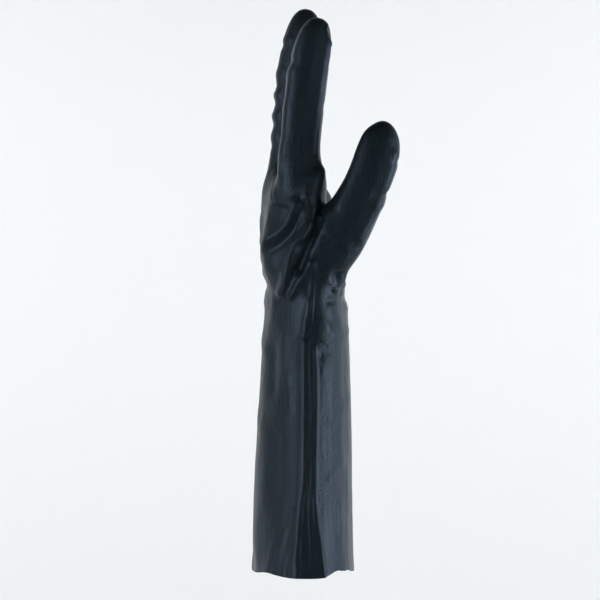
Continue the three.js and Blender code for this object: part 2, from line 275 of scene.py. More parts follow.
def tube_places(section, sizes):
    """The places of one ring of the cuff or palm, from the palm's run round to the thumb's side."""
    breadth = sizes.cuff_breadth if section.of == "cuff" else sizes.palm_breadth
    half = breadth / MM / 2 - section.less
    middle = (section.front + section.back) / 2
    deep = (section.front - section.back) / 2 * ring_growth(RING)
    back = reversed(run_angles(half, section.fingered * BACK_FINGERED))
    angles = run_angles(half, section.fingered)
    angles += [math.pi / 2, *(math.pi - a for a in back), -math.pi / 2]
    places = []
    for angle in angles:
        side = math.sin(angle)
        end = section.near if side < 0 else section.far
        x = middle + deep * signed_power(math.cos(angle), section.point)
        x += (end - middle) * side**2
        places.append(Vector((x, half * ring_growth(RING) * side, section.z)))
    return places


def finger_middle(finger, row):
    """The middle of one ring of a finger."""
    x = mix(finger.base[0], finger.tip[0], row.lean)
    y, z = (mix(finger.base[i], finger.tip[i], row.along) for i in (1, 2))
    return Vector((x, y, z))


def finger_places_round(finger, number):
    """The eight places of a finger's ring, from the thumb's side of its palm's face."""
    row, *after = [*FINGER_RINGS, FINGER_END][number:]
    middle = finger_middle(finger, row)
    axis = (finger_middle(finger, after[0]) - middle).normalized()
    across = (Vector((0, 1, 0)) - axis * axis.y).normalized()
    forward = across.cross(axis)
    places = []
    for step in range(8):
        angle = math.radians(-45 + 45 * step)
        thick = finger.thick / 2 * row.thick * ring_growth(8) * math.cos(angle)
        wide = finger.wide / 2 * row.wide * ring_growth(8) * math.sin(angle)
        places.append(middle + forward * thick + across * wide)
    return places


THUMB_MIDDLES = [Vector((r.x, r.y, r.z)) for r in THUMB_RINGS] + [Vector(THUMB_TIP)]


def thumb_place(number, angle, share=1):
    """A point on one of the thumb's rings, at an angle in degrees and a share of its size."""
    ring = THUMB_RINGS[number]
    grow = ring_growth(3 * len(THUMB_ROWS)) * share
    axis = (THUMB_MIDDLES[number + 1] - THUMB_MIDDLES[max(number - 1, 0)]).normalized()
    sideways = (Vector((0, 1, 0)) - axis * axis.y).normalized()
    inward = axis.cross(sideways)
    place = THUMB_MIDDLES[number] + sideways * ring.deep * grow * math.cos(math.radians(angle))
    return place + inward * ring.across * grow * math.sin(math.radians(angle))


# Modelling by hand, in code: what is selected, and where the selected vertices go


def edit_mesh(piece):
    """The piece's mesh in edit mode, which the caller holds while it uses its parts."""
    return bmesh.from_edit_mesh(piece.data)


def label_layers(mesh):
    """The two layers that give each vertex of the cage its row and column."""
    return mesh.verts.layers.int["row"], mesh.verts.layers.int["column"]


def select_only(piece, mesh, kind, parts):
    """In edit mode, selects these vertices, edges or faces of the mesh and nothing else."""
    bpy.ops.mesh.select_mode(type=kind)
    for part in [*mesh.verts, *mesh.edges, *mesh.faces]:
        part.select = False
    for part in parts:
        part.select = True
    mesh.select_flush_mode()
    bmesh.update_edit_mesh(piece.data)


def place_selected(piece, places, row=None):
    """Moves each selected vertex to its place in millimetres, which its row and column name."""
    mesh = edit_mesh(piece)
    rows, columns = label_layers(mesh)
    for vert in mesh.verts:
        if not vert.select:
            continue
        if row is not None:
            vert[rows] = row
        vert.co = places[vert[rows], vert[columns]] * MM
    bmesh.update_edit_mesh(piece.data)


def extrude_to(piece, places, row=None):
    """Extrudes what is selected and moves the new vertices to their places."""
    bpy.ops.mesh.extrude_region_move()
    place_selected(piece, places, row)


def labelled(mesh):
    """Each vertex of the cage by its row and column, the newest where several share them."""
    rows, columns = label_layers(mesh)
    return {(v[rows], v[columns]): v for v in mesh.verts}


def faces_between(mesh, labels):
    """The faces whose corners all have one of these labels."""
    rows, columns = label_layers(mesh)
    return [f for f in mesh.faces if all((v[rows], v[columns]) in labels for v in f.verts)]


def finger_labels(number):
    """The labels of a finger's ring, in the order of its places, and of its middle."""
    first, second, third = (FINGER_COLUMNS * number + i for i in range(3))
    back = LITTLE_SIDE * 2
    little = LITTLE_SIDE if third == RUN - 1 else MIDDLE_LABEL + third
    thumb = THUMB_SIDE if first == 0 else MIDDLE_LABEL + first
    ring = [first, second, third, little, back - third, back - second, back - first, thumb]
    return [(TOP_ROW, c) for c in ring], (TOP_ROW, MIDDLE_LABEL + second)


def thumb_labels():
    """The labels of the thumb's ring, in the order of its places, and of its four inner points."""
    low, second, third, high = THUMB_ROWS
    ring = [(low, c) for c in THUMB_COLUMNS]
    ring += [(second, 2), (third, 2)]
    ring += [(high, c) for c in reversed(THUMB_COLUMNS)]
    ring += [(third, THUMB_SIDE), (second, THUMB_SIDE)]
    return ring, [(second, 0), (second, 1), (third, 1), (third, 0)]


JOIN_REACH = 0.01  # vertices nearer than this, in millimetres, become one


def model_tube(sizes):
    """The cuff and palm: a circle that is extruded section by section."""
    bpy.ops.object.select_all(action="DESELECT")
    bpy.ops.mesh.primitive_circle_add(vertices=RING, radius=sizes.cuff_breadth / 2)
    piece = bpy.context.active_object
    rows = piece.data.attributes.new("row", "INT", "POINT")
    columns = piece.data.attributes.new("column", "INT", "POINT")
    rows.data.foreach_set("value", [0] * RING)
    columns.data.foreach_set("value", range(RING))
    bpy.ops.object.mode_set(mode="EDIT")
    bpy.ops.mesh.select_mode(type="VERT")
    bpy.ops.mesh.select_all(action="SELECT")
    for row, section in enumerate(TUBE_SECTIONS):
        places = {(row, c): p for c, p in enumerate(tube_places(section, sizes))}
        if row == 0:
            place_selected(piece, places)
        else:
            extrude_to(piece, places, row)
    return piece


def model_webs(piece):
    """The top of the palm: the fingers' own root rings, with webs between them."""
    places = {}
    for number, finger in enumerate(FINGERS):
        ring, middle = finger_labels(number)
        round_it = finger_places_round(finger, 0)
        places.update(zip(ring, round_it))
        places[middle] = sum(round_it, Vector()) / len(round_it)
    extrude_to(piece, places, TOP_ROW)
    mesh = edit_mesh(piece)
    named = labelled(mesh)
    count = len(mesh.verts)
    palm = [named[TOP_ROW, c] for c in range(RUN)]
    back = [named[TOP_ROW, 2 * RUN - c] for c in range(RUN)]
    lines = [(line[i], line[i + 1]) for line in (palm, back) for i in range(RUN - 1)]
    edges = [next(e for e in a.link_edges if e.other_vert(a) == b) for a, b in lines]
    halfway = [(palm[c].co + back[c].co) / 2 for c in range(RUN)]
    select_only(piece, mesh, "EDGE", edges)
    bpy.ops.mesh.bridge_edge_loops(number_cuts=1, interpolation="LINEAR")
    mesh = edit_mesh(piece)
    rows, columns = label_layers(mesh)
    # the bridge's new middle row: its two ends close onto the narrow sides
    for vert in list(mesh.verts)[count:]:
        column = min(range(RUN), key=lambda c: (halfway[c] - vert.co).length)
        ends = {0: THUMB_SIDE, RUN - 1: LITTLE_SIDE}
        vert[rows] = TOP_ROW
        vert[columns] = ends.get(column, MIDDLE_LABEL + column)
        vert.co = places[TOP_ROW, vert[columns]] * MM
    bmesh.update_edit_mesh(piece.data)
    bpy.ops.mesh.select_mode(type="VERT")
    bpy.ops.mesh.select_all(action="SELECT")
    bpy.ops.mesh.remove_doubles(threshold=JOIN_REACH * MM)


def model_finger(piece, number):
    """One finger, extruded ring by ring from its patch of four faces."""
    finger = FINGERS[number]
    ring, middle = finger_labels(number)
    mesh = edit_mesh(piece)
    select_only(piece, mesh, "FACE", faces_between(mesh, {*ring, middle}))
    for row in range(1, len(FINGER_RINGS)):
        places = dict(zip(ring, finger_places_round(finger, row)))
        last = row == len(FINGER_RINGS) - 1
        places[middle] = Vector(finger.tip) if last else finger_middle(finger, FINGER_RINGS[row])
        extrude_to(piece, places)


def model_thumb(piece):
    """The thumb, extruded from a patch of nine faces: the ball first, then ring by ring."""
    ring, inner = thumb_labels()
    mesh = edit_mesh(piece)
    named = labelled(mesh)
    root = [named[label].co / MM for label in ring]
    select_only(piece, mesh, "FACE", faces_between(mesh, {*ring, *inner}))
    corners = [THUMB_START + 360 / len(ring) * k for k in range(len(ring))]
    first = [thumb_place(0, angle) for angle in corners]
    halfway = [(a + b) / 2 for a, b in zip(root, first)]
    middle = sum(halfway, Vector()) / len(halfway)
    rows = [[middle + (p - middle) * BALL_SWELL for p in halfway]]
    rows += [[thumb_place(n, angle) for angle in corners] for n in range(len(THUMB_RINGS))]
    end = len(THUMB_RINGS) - 1
    rise = THUMB_MIDDLES[end + 1] - THUMB_MIDDLES[end]
    for number, spots in enumerate(rows):
        places = dict(zip(ring, spots))
        for quarter, label in enumerate(inner):
            places[label] = mix(sum(spots, Vector()) / len(spots), spots[3 * quarter], TIP_SHARE)
            if number == len(rows) - 1:
                angle = THUMB_START + 90 * quarter
                places[label] = thumb_place(end, angle, TIP_SHARE) + rise
        extrude_to(piece, places)


# Relief of the skin, in millimetres


def apply_modifier(piece, kind, **settings):
    """Adds a modifier with these settings and applies it."""
    modifier = piece.modifiers.new(kind.title(), kind)
    for name, value in settings.items():
        setattr(modifier, name, value)
    bpy.ops.object.modifier_apply(modifier=modifier.name)


def points_of(piece):
    """The places in millimetres and the normals of a mesh's vertices, as two arrays."""
    count = len(piece.data.vertices)
    points, normals = np.zeros(count * 3), np.zeros(count * 3)
    piece.data.vertices.foreach_get("co", points)
    piece.data.vertex_normals.foreach_get("vector", normals)
    return points.reshape(-1, 3) / MM, normals.reshape(-1, 3)


def move_points(piece, points):
    """Moves a mesh's vertices to these places in millimetres."""
    piece.data.vertices.foreach_set("co", (points * MM).ravel())
    piece.data.update()


def smooth_step(value, low, high):
    """From 0 at low to 1 at high, level at both ends."""
    t = np.clip((value - low) / (high - low), 0, 1)
    return t * t * (3 - 2 * t)


# Soft swellings and hollows: the middle, the reach along X, Y and Z, and the height
Pad = namedtuple("Pad", "name at reach height")
PADS = [
    Pad(f"{f.name} knuckle", (f.base[0] - 14, f.base[1], f.base[2] - 12), (12, 9, 10), 1.8)
    for f in FINGERS
] + [
    Pad("ball of the thumb", (32, -38, 197), (14, 12, 18), 1.8),
    Pad("edge of the palm", (18, 32, 231), (15, 17, 24), 6.0),
    Pad("heel of the palm", (22, 26, 190), (14, 18, 18), 2.4),
    Pad("hollow of the palm", (16, 2, 214), (12, 17, 24), -3.2),
]

# The ways a fold can face: the axis that its path leaves out and the way outwards along it, the
# axis that runs across it, and the two corners of the box that its folds keep to
Face = namedtuple("Face", "out sign across low high")
FACES = {
    "thumb": Face(1, -1, 0, (-99, -99, -9), (99, -20, 400)),
    "little": Face(1, 1, 0, (-99, 20, -9), (99, 99, 400)),
    "palm": Face(0, 1, 1, (-99, -99, -9), (28, 99, 400)),
    "back": Face(0, -1, 1, (-99, -99, -9), (28, 99, 400)),
    "thumb's front": Face(0, 1, 1, (28, -99, 200), (99, -20, 400)),
    "thumb's back": Face(0, -1, 1, (28, -99, 200), (99, -20, 400)),
}
FOLD_FADE = 8  # millimetres, where a fold names no other
ROUND, FLAT = 2, 4  # powers that round a ridge off or leave its top flat
FACING = (0.1, 0.6)  # how squarely the skin must face a fold's way for it to start and to be full
# Folds and creases: the face they lie on, a path of X (or Y) and Z from low to high, the half
# widths to its left and right, the height, which is negative for a crease, how far the fold
# fades past its ends and the power of its section
Fold = namedtuple("Fold", "face path left right height fade power", defaults=(FOLD_FADE, ROUND))
HAND_FOLDS = [
    # the two long folds that run from the thumb's web down over the hand, and the short third
    Fold("thumb", [(-25, 201), (-20, 207), (-14, 212), (-8.5, 218.5), (-4, 230)], 5, 2.6, 3.0),
    Fold("thumb", [(-20, 200), (-13.5, 206), (-7.5, 213), (-3, 224)], 2.4, 2.4, -1.5),
    Fold(
        "thumb",
        [(-12.4, 175), (-10, 181), (-8.8, 191), (-6.8, 199), (-4, 206), (0.2, 210), (4.5, 217)],
        left=3.2,
        right=2.2,
        height=2.8,
    ),
    Fold("thumb", [(-0.5, 210), (4.5, 217), (6.8, 227)], 3, 2.2, 0.7),
    Fold("thumb", [(-6.4, 196), (-3.4, 203), (0.3, 207)], 1.4, 1.4, -0.8, 4),
    Fold("thumb", [(-14.5, 177), (-13.3, 183), (-13, 188)], 5, 3, 0.9, 5),
    Fold("thumb", [(-17.6, 169), (-17.6, 178)], 2, 2, 0.5, 4),
    Fold("thumb", [(-6.8, 174), (-3.4, 180), (0.8, 186.5), (4.6, 193.5)], 2.6, 2.2, 1.9, 6),
    # the valley between the hand and the thumb, and the thumb's side of it
    Fold("thumb", [(-3, 190), (1.2, 201), (6.4, 213), (10.8, 223.5), (16, 233)], 3.6, 3.0, -3.6),
    Fold("thumb", [(24, 201), (20.3, 204), (13.3, 209.4)], 2.2, 2.2, -0.5, 5),
    Fold("thumb", [(27, 204), (22, 208), (15, 213)], 3, 3, 0.4, 5),
    # the pad that bulges at the root of the index finger
    Fold("thumb", [(2.4, 235), (2.8, 240), (4.6, 246), (8, 251), (12.4, 255)], 3.2, 7, 2.5, 6),
    Fold("thumb", [(5, 245.5), (8.2, 250.5), (12, 254)], 2.4, 5, 0.9, 4),
    # under the knuckle: a crease across, and the swelling below it
    Fold("thumb", [(-27, 231.6), (-18.5, 232), (-8, 229.5)], 1.4, 1.3, -1.2, 4),
    Fold("thumb", [(-27, 225), (-22, 226)], 3, 3, 0.8, 5),
    # the roll of rubber at the root of the thumb, between two creases
    Fold("thumb", [(19, 181), (25, 182), (31, 182)], 3, 2.0, 1.6, 5),
    Fold("thumb", [(22, 188), (32, 188.5)], 2, 2, -1.0, 5),
    Fold("thumb", [(19, 178), (23.5, 174.6), (27.5, 175), (30, 178)], 1.3, 1.5, 2.4, 3),
    Fold("thumb", [(16, 170.5), (22, 171), (30, 171)], 2.4, 2.4, -1.3, 5),
    # the flat near side of the index finger, and the corners that bound it
    Fold("thumb", [(7, 262), (9, 285), (11.6, 305), (15.4, 325), (17.6, 335)], 3, 3, 1.4),
    Fold("thumb", [(-13, 262), (-10.5, 285), (-7.5, 305), (-3, 325), (2, 338)], 3, 5.5, 1.2),
    # the dimple by the index fingertip
    Fold("thumb", [(16.8, 329), (14.8, 333), (14.3, 338.5), (15.6, 343)], 1.0, 0.9, 0.9, 2),
    # the mould's parting line up the index finger
    Fold("thumb", [(-2.5, 262), (-1.3, 275), (3, 304.6), (7, 325)], 0.9, 0.9, 0.35, 5),
    # the palm: its three lines and the folds above the wrist
    Fold("palm", [(-8, 182), (-14, 196), (-20, 212), (-31, 224)], 3, 3, -1.2),
    Fold("palm", [(-34, 228), (-18, 222), (0, 214), (18, 206)], 2.4, 3, -0.9),
    Fold("palm", [(-14, 240), (4, 232), (20, 230), (37, 232)], 2.4, 2.4, -0.9),
    Fold("palm", [(-22, 174), (0, 173), (30, 176)], 4, 4, -1.3),
    Fold("palm", [(-20, 183), (2, 182), (28, 185)], 3, 3, -0.8),
    Fold("palm", [(-20, 167), (-4, 165), (27, 168)], 4, 3, 0.7),
    # the back of the hand: the fold at the wrist and the slack above it
    Fold("back", [(-18, 181), (0, 180), (34, 182)], 4, 2.5, -1.4),
    Fold("back", [(-16, 189), (-6, 188), (20, 191)], 3.5, 3, 0.8),
    Fold("back", [(-28, 201), (-4, 198), (10, 199)], 2.5, 2.5, 0.5),
    Fold("back", [(-6, 208), (14, 205), (32, 209)], 2.5, 2.5, 0.5),
    Fold("back", [(-18, 171), (2, 170), (30, 173)], 4, 4, 0.7),
    # the little finger's side: the edge of the palm gathers over the wrist
    Fold("little", [(-14, 196), (-4, 204), (10, 209)], 3.5, 2.5, 1.2),
    Fold("little", [(-16, 210), (-4, 216), (12, 219)], 3, 2.5, 0.9),
    Fold("little", [(-20, 186), (-6, 191), (14, 193)], 4, 2.5, 1.3),
    Fold("little", [(-20, 180), (0, 184), (20, 184)], 3, 3, -1.1),
    Fold("little", [(-6, 240), (2, 232), (4, 222)], 3, 3, -0.9),
]
CUFF_FOLDS = [
    # the mould's rib: broad and flat below the thumb's web, and narrow on down the cuff
    Fold("thumb", [(4.4, 158), (5, 168), (5.8, 184), (7, 195)], 1.7, 1.7, 0.65, 6, FLAT),
    Fold("thumb", [(3.6, 44), (4.5, 85), (4.6, 114), (4.4, 146)], 1.0, 1.0, 0.7, 6),
    # the ridge on the rib's left, which leaves it at the top and runs on to the hem
    Fold("thumb", [(1.5, 151.5), (2.2, 160), (3.6, 170)], 2.4, 1.6, 1.2, 5),
    Fold(
        "thumb",
        [(-3.6, -2), (-2.7, 28), (-0.8, 46), (0.9, 60), (1.2, 78), (1.3, 114), (1.2, 133), (1.5, 145)],
        left=4,
        right=1.8,
        height=1.8,
    ),
    # streaks on the left, under the wrist, and the slack between them
    Fold("thumb", [(-18.7, 158), (-18.7, 173)], 2.5, 3, 0.6, 6),
    Fold("thumb", [(-12, 126), (-12, 148)], 2.4, 4, 0.7, 6),
    Fold("thumb", [(-8.2, 104), (-8.6, 124)], 2.4, 3, 0.7, 6),
    Fold("thumb", [(-18.5, 114), (-19, 141)], 3, 3, -1.1),
    # the ridge on the rib's right, which runs on to the hem, its dimple and the folds beside it
    Fold(
        "thumb",
        [(13.3, -2), (10.8, 22), (8.9, 34), (7.4, 48), (7.5, 66), (8.2, 110), (7.9, 128), (7.2, 142)],
        left=1.6,
        right=1.3,
        height=1.1,
        fade=6,
    ),
    Fold("thumb", [(17, 138.5), (7.3, 148.3)], 1.6, 1.6, -0.6, 4),
    Fold("thumb", [(22, 148), (12, 158)], 2.2, 2.2, 0.5, 5),
    Fold("thumb", [(16, 60), (27, 76)], 2.2, 2.2, 0.4, 5),
    Fold("thumb", [(17, 94), (28, 108)], 2.2, 2.2, 0.4, 5),
    Fold("thumb", [(17.5, 40), (17, 95), (18, 150)], 3, 3, 0.5),
    Fold("thumb", [(24, 70), (23, 120), (24, 158)], 2.6, 2.6, 0.6),
    Fold("thumb", [(21.5, 24), (20.8, 46)], 1.2, 1.2, -0.7, 5),
    Fold("thumb", [(23.5, 16), (23, 44)], 1.8, 2.4, 0.6, 5),
    # the wedge at the foot, between the lower ends of the two ridges
    Fold("thumb", [(12.6, -2), (10, 22), (8.4, 32)], 4, 1.6, 0.5),
    Fold("thumb", [(4.6, -2), (3.7, 25), (3.4, 48)], 4, 4, -0.9),
    Fold("thumb", [(4.9, 8), (3, 54)], 0.8, 0.8, 0.3, 4),
    # slack on the left of the foot
    Fold("thumb", [(-17, 52), (-17, 86)], 4, 4, -0.9),
    Fold("thumb", [(-25, 40), (-24, 96)], 3.5, 3.5, 0.7),
    # the cuff's other sides, which hang in broad flutes
    Fold("palm", [(-24, 14), (-19, 90), (-21, 150)], 9, 9, 0.9, 14),
    Fold("palm", [(-2, 8), (2, 80), (-1, 150)], 8, 8, -0.8, 14),
    Fold("palm", [(21, 18), (23, 90), (18, 150)], 9, 9, 0.9, 14),
    Fold("palm", [(-28, 104), (-10, 118), (14, 124)], 5, 5, 0.6),
    Fold("palm", [(-12, 44), (8, 56), (30, 60)], 5, 5, 0.5),
    Fold("palm", [(-30, 148), (-8, 154), (20, 152)], 4, 4, 0.7),
    Fold("back", [(-20, 10), (-22, 80), (-18, 150)], 9, 9, 0.8, 14),
    Fold("back", [(2, 16), (-2, 90), (3, 158)], 8, 8, -0.8, 14),
    Fold("back", [(24, 14), (21, 84), (23, 150)], 9, 9, 0.8, 14),
    Fold("back", [(-26, 136), (-6, 146), (22, 150)], 5, 4, 0.7),
    Fold("back", [(-22, 92), (0, 100), (26, 98)], 5, 5, 0.4),
    Fold("little", [(3.6, 46), (4.2, 90), (4.6, 140), (6, 176)], 1.8, 1.8, 0.6, 10, FLAT),
    Fold("little", [(-9, 40), (-6, 90), (-10, 140)], 5, 4, 1.1, 12),
    Fold("little", [(14, 30), (12, 84), (16, 136)], 4, 5, 1.0, 12),
    Fold("little", [(-18, 150), (-6, 158), (8, 160)], 3.5, 3, 0.8),
]
# Sets of fine wrinkles: the first one's face, path, half width and height, how far each next one
# is moved, and how many there are
Comb = namedtuple("Comb", "face path width height move count")
COMBS = [
    Comb("thumb", [(-25.5, 231), (-25, 243), (-23, 256)], 1.0, 0.5, (2.3, 0.3), 5),
    Comb("back", [(-16, 214), (-14, 222)], 1.6, 0.3, (6.2, 0.4), 6),
    Comb("palm", [(-22, 186), (-26, 194)], 1.6, 0.5, (4.4, 1.5), 4),
    Comb("little", [(-14, 222), (-12, 232)], 1.4, 0.4, (3.4, 0.6), 6),
    Comb("thumb", [(-23.5, -2), (-16, 28)], 1.9, 0.4, (5.0, 0), 4),
    Comb("little", [(-20, -2), (-14, 26)], 1.8, 0.6, (5.6, 0), 4),
]
WANDER = 2.4  # radians between one wrinkle of a set and the next, which makes them uneven
COMB_UNEVEN = 0.3  # share by which the wrinkles of a set differ in height
COMB_FADE = 4

# Wrinkles across the fingers: which fingers, the share of their length from the root, the face,
# the half width and the height
Joint = namedtuple("Joint", "fingers along face width height")
JOINTS = [
    Joint("index", 0.70, "back", 2.6, -0.9),
    Joint("index", 0.63, "back", 3.2, 0.8),
    Joint("index", 0.40, "back", 3.5, 0.3),
    Joint("index", 0.22, "back", 3.5, -0.3),
    Joint("middle", 0.79, "back", 2.6, 0.4),
    Joint("middle", 0.75, "back", 2.4, -0.7),
    Joint("middle", 0.59, "back", 3.4, 0.9),
    Joint("middle", 0.52, "back", 2.4, -0.6),
    Joint("middle", 0.455, "back", 2.6, 1.0),
    Joint("middle", 0.39, "back", 2.2, -0.5),
    Joint("middle", 0.325, "back", 2.6, 1.1),
    Joint("middle", 0.28, "back", 2.0, -0.7),
    Joint("middle", 0.20, "back", 3.2, 0.8),
    Joint("middle", 0.13, "back", 2.4, -0.4),
    Joint("ring little", 0.72, "back", 3.0, 0.6),
    Joint("ring little", 0.65, "back", 2.0, -0.5),
    Joint("ring little", 0.48, "back", 3.0, 0.8),
    Joint("ring little", 0.41, "back", 2.0, -0.4),
    Joint("ring little", 0.34, "back", 3.0, 0.9),
    Joint("ring little", 0.20, "back", 3.0, 0.6),
    Joint("index middle", 0.40, "palm", 2.8, -0.3),
    Joint("index middle", 0.68, "palm", 2.8, -0.25),
    Joint("ring little", 0.38, "palm", 2.6, -0.6),
    Joint("ring little", 0.66, "palm", 2.4, -0.5),
    Joint("ring little", 0.05, "palm", 2.8, -0.6),
]
JOINT_REACH = 0.28  # of the finger's breadth, to each side of its middle
JOINT_SLANT = 1.2  # how far each end of a wrinkle is from its middle's height, at most
JOINT_SHIFT = 0.012  # share of the finger's length by which a wrinkle is moved, at most
JOINT_UNEVEN = 0.2  # share by which the fingers' wrinkles differ in height
JOINT_FADE = 5
THUMB_FOLDS = [
    # the corners of the thumb's flat near side
    Fold("thumb", [(35, 209), (43.5, 224), (49.4, 236), (53.8, 248.5), (57, 261)], 3, 3, 1.3),
    Fold("thumb", [(22.6, 231), (28.4, 243), (32.8, 255), (35.8, 267), (38.6, 276)], 3, 5.5, 1.3),
    # the creases at its joints
    Fold("thumb's front", [(-54, 235.5), (-44, 237), (-36, 236)], 1.8, 1.8, -1.0, 4),
    Fold("thumb's front", [(-52, 229), (-38, 230)], 3, 3, 0.6, 4),
    Fold("thumb's front", [(-52, 256), (-38, 257)], 1.8, 1.8, -0.7, 4),
    Fold("thumb's back", [(-48, 243), (-38, 244)], 3.4, 3.4, 0.3, 4),
]

# Dents and small swellings that no fold makes
DENTS = [
    Pad("index fingertip", (17, -47, 337), (2.2, 6, 5), -1.7),
    Pad("beside the rib", (11.6, -52, 137), (2.2, 6, 2.6), -1.1),
    Pad("under that", (12.8, -52, 128), (2.0, 6, 3.2), 0.6),
    Pad("web of the far palm", (16.5, 14, 237.5), (3.6, 7, 4), -4.2),
    Pad("crescent of the far palm", (20, 26, 237), (4, 5, 7), 1.8),
    Pad("pad of the thumb", (58, -45, 254), (4, 9, 10), 0.6),
    Pad("front of the index finger's root", (12, -35, 244), (9, 11, 13), 4.4),
    Pad("web of the thumb", (15, -40, 223), (7, 9, 7), 5.0),
    Pad("back corner of the hand", (-23, -34, 209), (8, 10, 20), 4.6),
    Pad("back corner of the hand, low", (-24, -29, 191), (7, 11, 13), 3.4),
    Pad("back corner of the wrist", (-24, -30, 167), (6, 9, 14), 1.0),
    Pad("corner of the hem", (-31, -12, 7), (5, 9, 7), -1.2),
    Pad("edge of the far palm", (17, 28, 243), (9, 13, 12), 3.5),
    Pad("roll at the thumb's root", (26, -31, 181.5), (6, 14, 5.5), 5.0),
    Pad("inside of the roll", (27.4, -42, 181.4), (1.5, 9, 1.6), -3.2),
    Pad("beside the roll", (21, -47, 181.5), (3, 9, 6), -4.8),
]
# Uneven rubber: the size of the swells in millimetres, along X, Y and Z, and their height
Swell = namedtuple("Swell", "size height")
SWELLS = [
    Swell((26, 26, 60), 0.35),
    Swell((9, 9, 16), 0.15),
    Swell((3.6, 3.6, 5), 0.05),
]
# Where the hem lifts from the plane that it stands on: the place, the reach and the height
Lift = namedtuple("Lift", "x y reach height")
LIFTS = [
    Lift(19.5, -46, 8, 3.4),
    Lift(27, -32, 13, 3.0),
    Lift(-20, -36, 13, 1.9),
    Lift(27, 30, 12, 1.6),
    Lift(-20, 42, 11, 1.3),
]
HEM_BAND = 14  # how far above the hem its lifts reach and the pads fade out


def pad_heights(points, pads):
    """How far the pads push each point out."""
    heights = np.zeros(len(points))
    for pad in pads:
        away = (points - pad.at) / pad.reach
        heights += pad.height * np.exp(-(away**2).sum(axis=1))
    return heights


def path_offsets(path, across, up):
    """How far each point lies from a path: beside it, above zero on its left, and past its ends."""
    best = np.full(len(across), np.inf)
    side, past = np.zeros(len(across)), np.zeros(len(across))
    for (ax, az), (bx, bz) in zip(path, path[1:]):
        length = math.hypot(bx - ax, bz - az)
        dx, dz = (bx - ax) / length, (bz - az) / length
        along = (across - ax) * dx + (up - az) * dz
        kept = np.clip(along, 0, length)
        off_x, off_z = across - ax - kept * dx, up - az - kept * dz
        away = np.hypot(off_x, off_z)
        nearer = away < best
        best = np.where(nearer, away, best)
        side = np.where(nearer, np.copysign(away, dx * off_z - dz * off_x), side)
        past = np.where(nearer, np.abs(along - kept), past)
    return side, past


def fold_heights(points, normals, folds):
    """How far the folds push each point out, where the skin faces the folds' own way."""
    heights = np.zeros(len(points))
    for fold in folds:
        face = FACES[fold.face]
        inside = ((points > face.low) & (points < face.high)).all(axis=1)
        near, facing = points[inside], face.sign * normals[inside, face.out]
        side, past = path_offsets(fold.path, near[:, face.across], near[:, 2])
        width = np.where(side > 0, fold.left, fold.right)
        shape = np.exp(-(np.abs(side / width) ** fold.power) - (past / fold.fade) ** 2)
        heights[inside] += smooth_step(facing, *FACING) * fold.height * shape
    return heights


def comb_folds(comb):
    """The wrinkles of one set, each a little longer or shorter and higher or lower."""
    folds = []
    for number in range(comb.count):
        uneven = math.sin(WANDER * number)
        path = [(x + comb.move[0] * number, z + comb.move[1] * number + uneven) for x, z in comb.path]
        height = comb.height * (1 + COMB_UNEVEN * uneven)
        folds.append(Fold(comb.face, path, comb.width, comb.width, height, COMB_FADE))
    return folds


def joint_folds(number, finger):
    """The wrinkles across one finger, which differ a little from finger to finger."""
    folds = []
    for place, joint in enumerate(JOINTS):
        if finger.name not in joint.fingers:
            continue
        uneven = math.sin(WANDER * (number + 2 * place))
        along = joint.along + JOINT_SHIFT * uneven
        y, z = (mix(finger.base[i], finger.tip[i], along) for i in (1, 2))
        reach, slant = finger.wide * JOINT_REACH, JOINT_SLANT * uneven
        path = [(y - reach, z - slant), (y + reach, z + slant)]
        height = joint.height * (1 + JOINT_UNEVEN * uneven)
        folds.append(Fold(joint.face, path, joint.width, joint.width, height, JOINT_FADE))
    return folds


def tendon_fold(finger):
    """The soft ridge on the back, from near the wrist, where the tendons meet, to a knuckle."""
    y = finger.base[1]
    return Fold("back", [(y * 0.55, 196), (y * 0.9, 224)], left=3.5, right=3.5, height=0.6)


def all_folds():
    """The folds of the tables, and those that the sets, joints and tendons make."""
    folds = HAND_FOLDS + CUFF_FOLDS + THUMB_FOLDS
    for comb in COMBS:
        folds = folds + comb_folds(comb)
    for number, finger in enumerate(FINGERS):
        folds = folds + joint_folds(number, finger) + [tendon_fold(finger)]
    return folds


def swell_heights(points):
    """How far the rubber's unevenness pushes each point out."""
    heights = np.zeros(len(points))
    for swell in SWELLS:
        scaled = points / swell.size
        heights += swell.height * np.array([noise.noise(place) for place in scaled])
    return heights


def relieve(piece, share):
    """Pushes the pads, folds and swells out along the skin, and lets the hem wave."""
    points, normals = points_of(piece)
    heights = pad_heights(points, PADS)
    small = pad_heights(points, DENTS) + fold_heights(points, normals, all_folds())
    small += swell_heights(points)
    hem = 1 - smooth_step(points[:, 2], 0, HEM_BAND)
    points = points + normals * (heights * (1 - hem) + share * small)[:, None]
    for lift in LIFTS:
        away = np.hypot(points[:, 0] - lift.x, points[:, 1] - lift.y) / lift.reach
        points[:, 2] += share * lift.height * hem * np.exp(-(away**2))
    move_points(piece, points)


# Boxes in millimetres where the skin has its finest folds and so gets a finer mesh
FINE_BOXES = [
    ((-99, -99, 150), (36, -24, 262)),
    ((-12, -99, -9), (20, -30, 150)),
    ((9, -60, 320), (26, -28, 352)),
]


def refine(piece):
    """Divides the faces where the skin has its finest folds once more."""
    bpy.ops.object.mode_set(mode="EDIT")
    mesh = edit_mesh(piece)
    chosen = []
    for face in mesh.faces:
        middle = face.calc_center_median() / MM
        for low, high in FINE_BOXES:
            if all(low[i] < middle[i] < high[i] for i in range(3)):
                chosen.append(face)
                break
    select_only(piece, mesh, "FACE", chosen)
    bpy.ops.mesh.subdivide(number_cuts=1, smoothness=1, quadcorner="INNERVERT")
    bpy.ops.object.mode_set(mode="OBJECT")


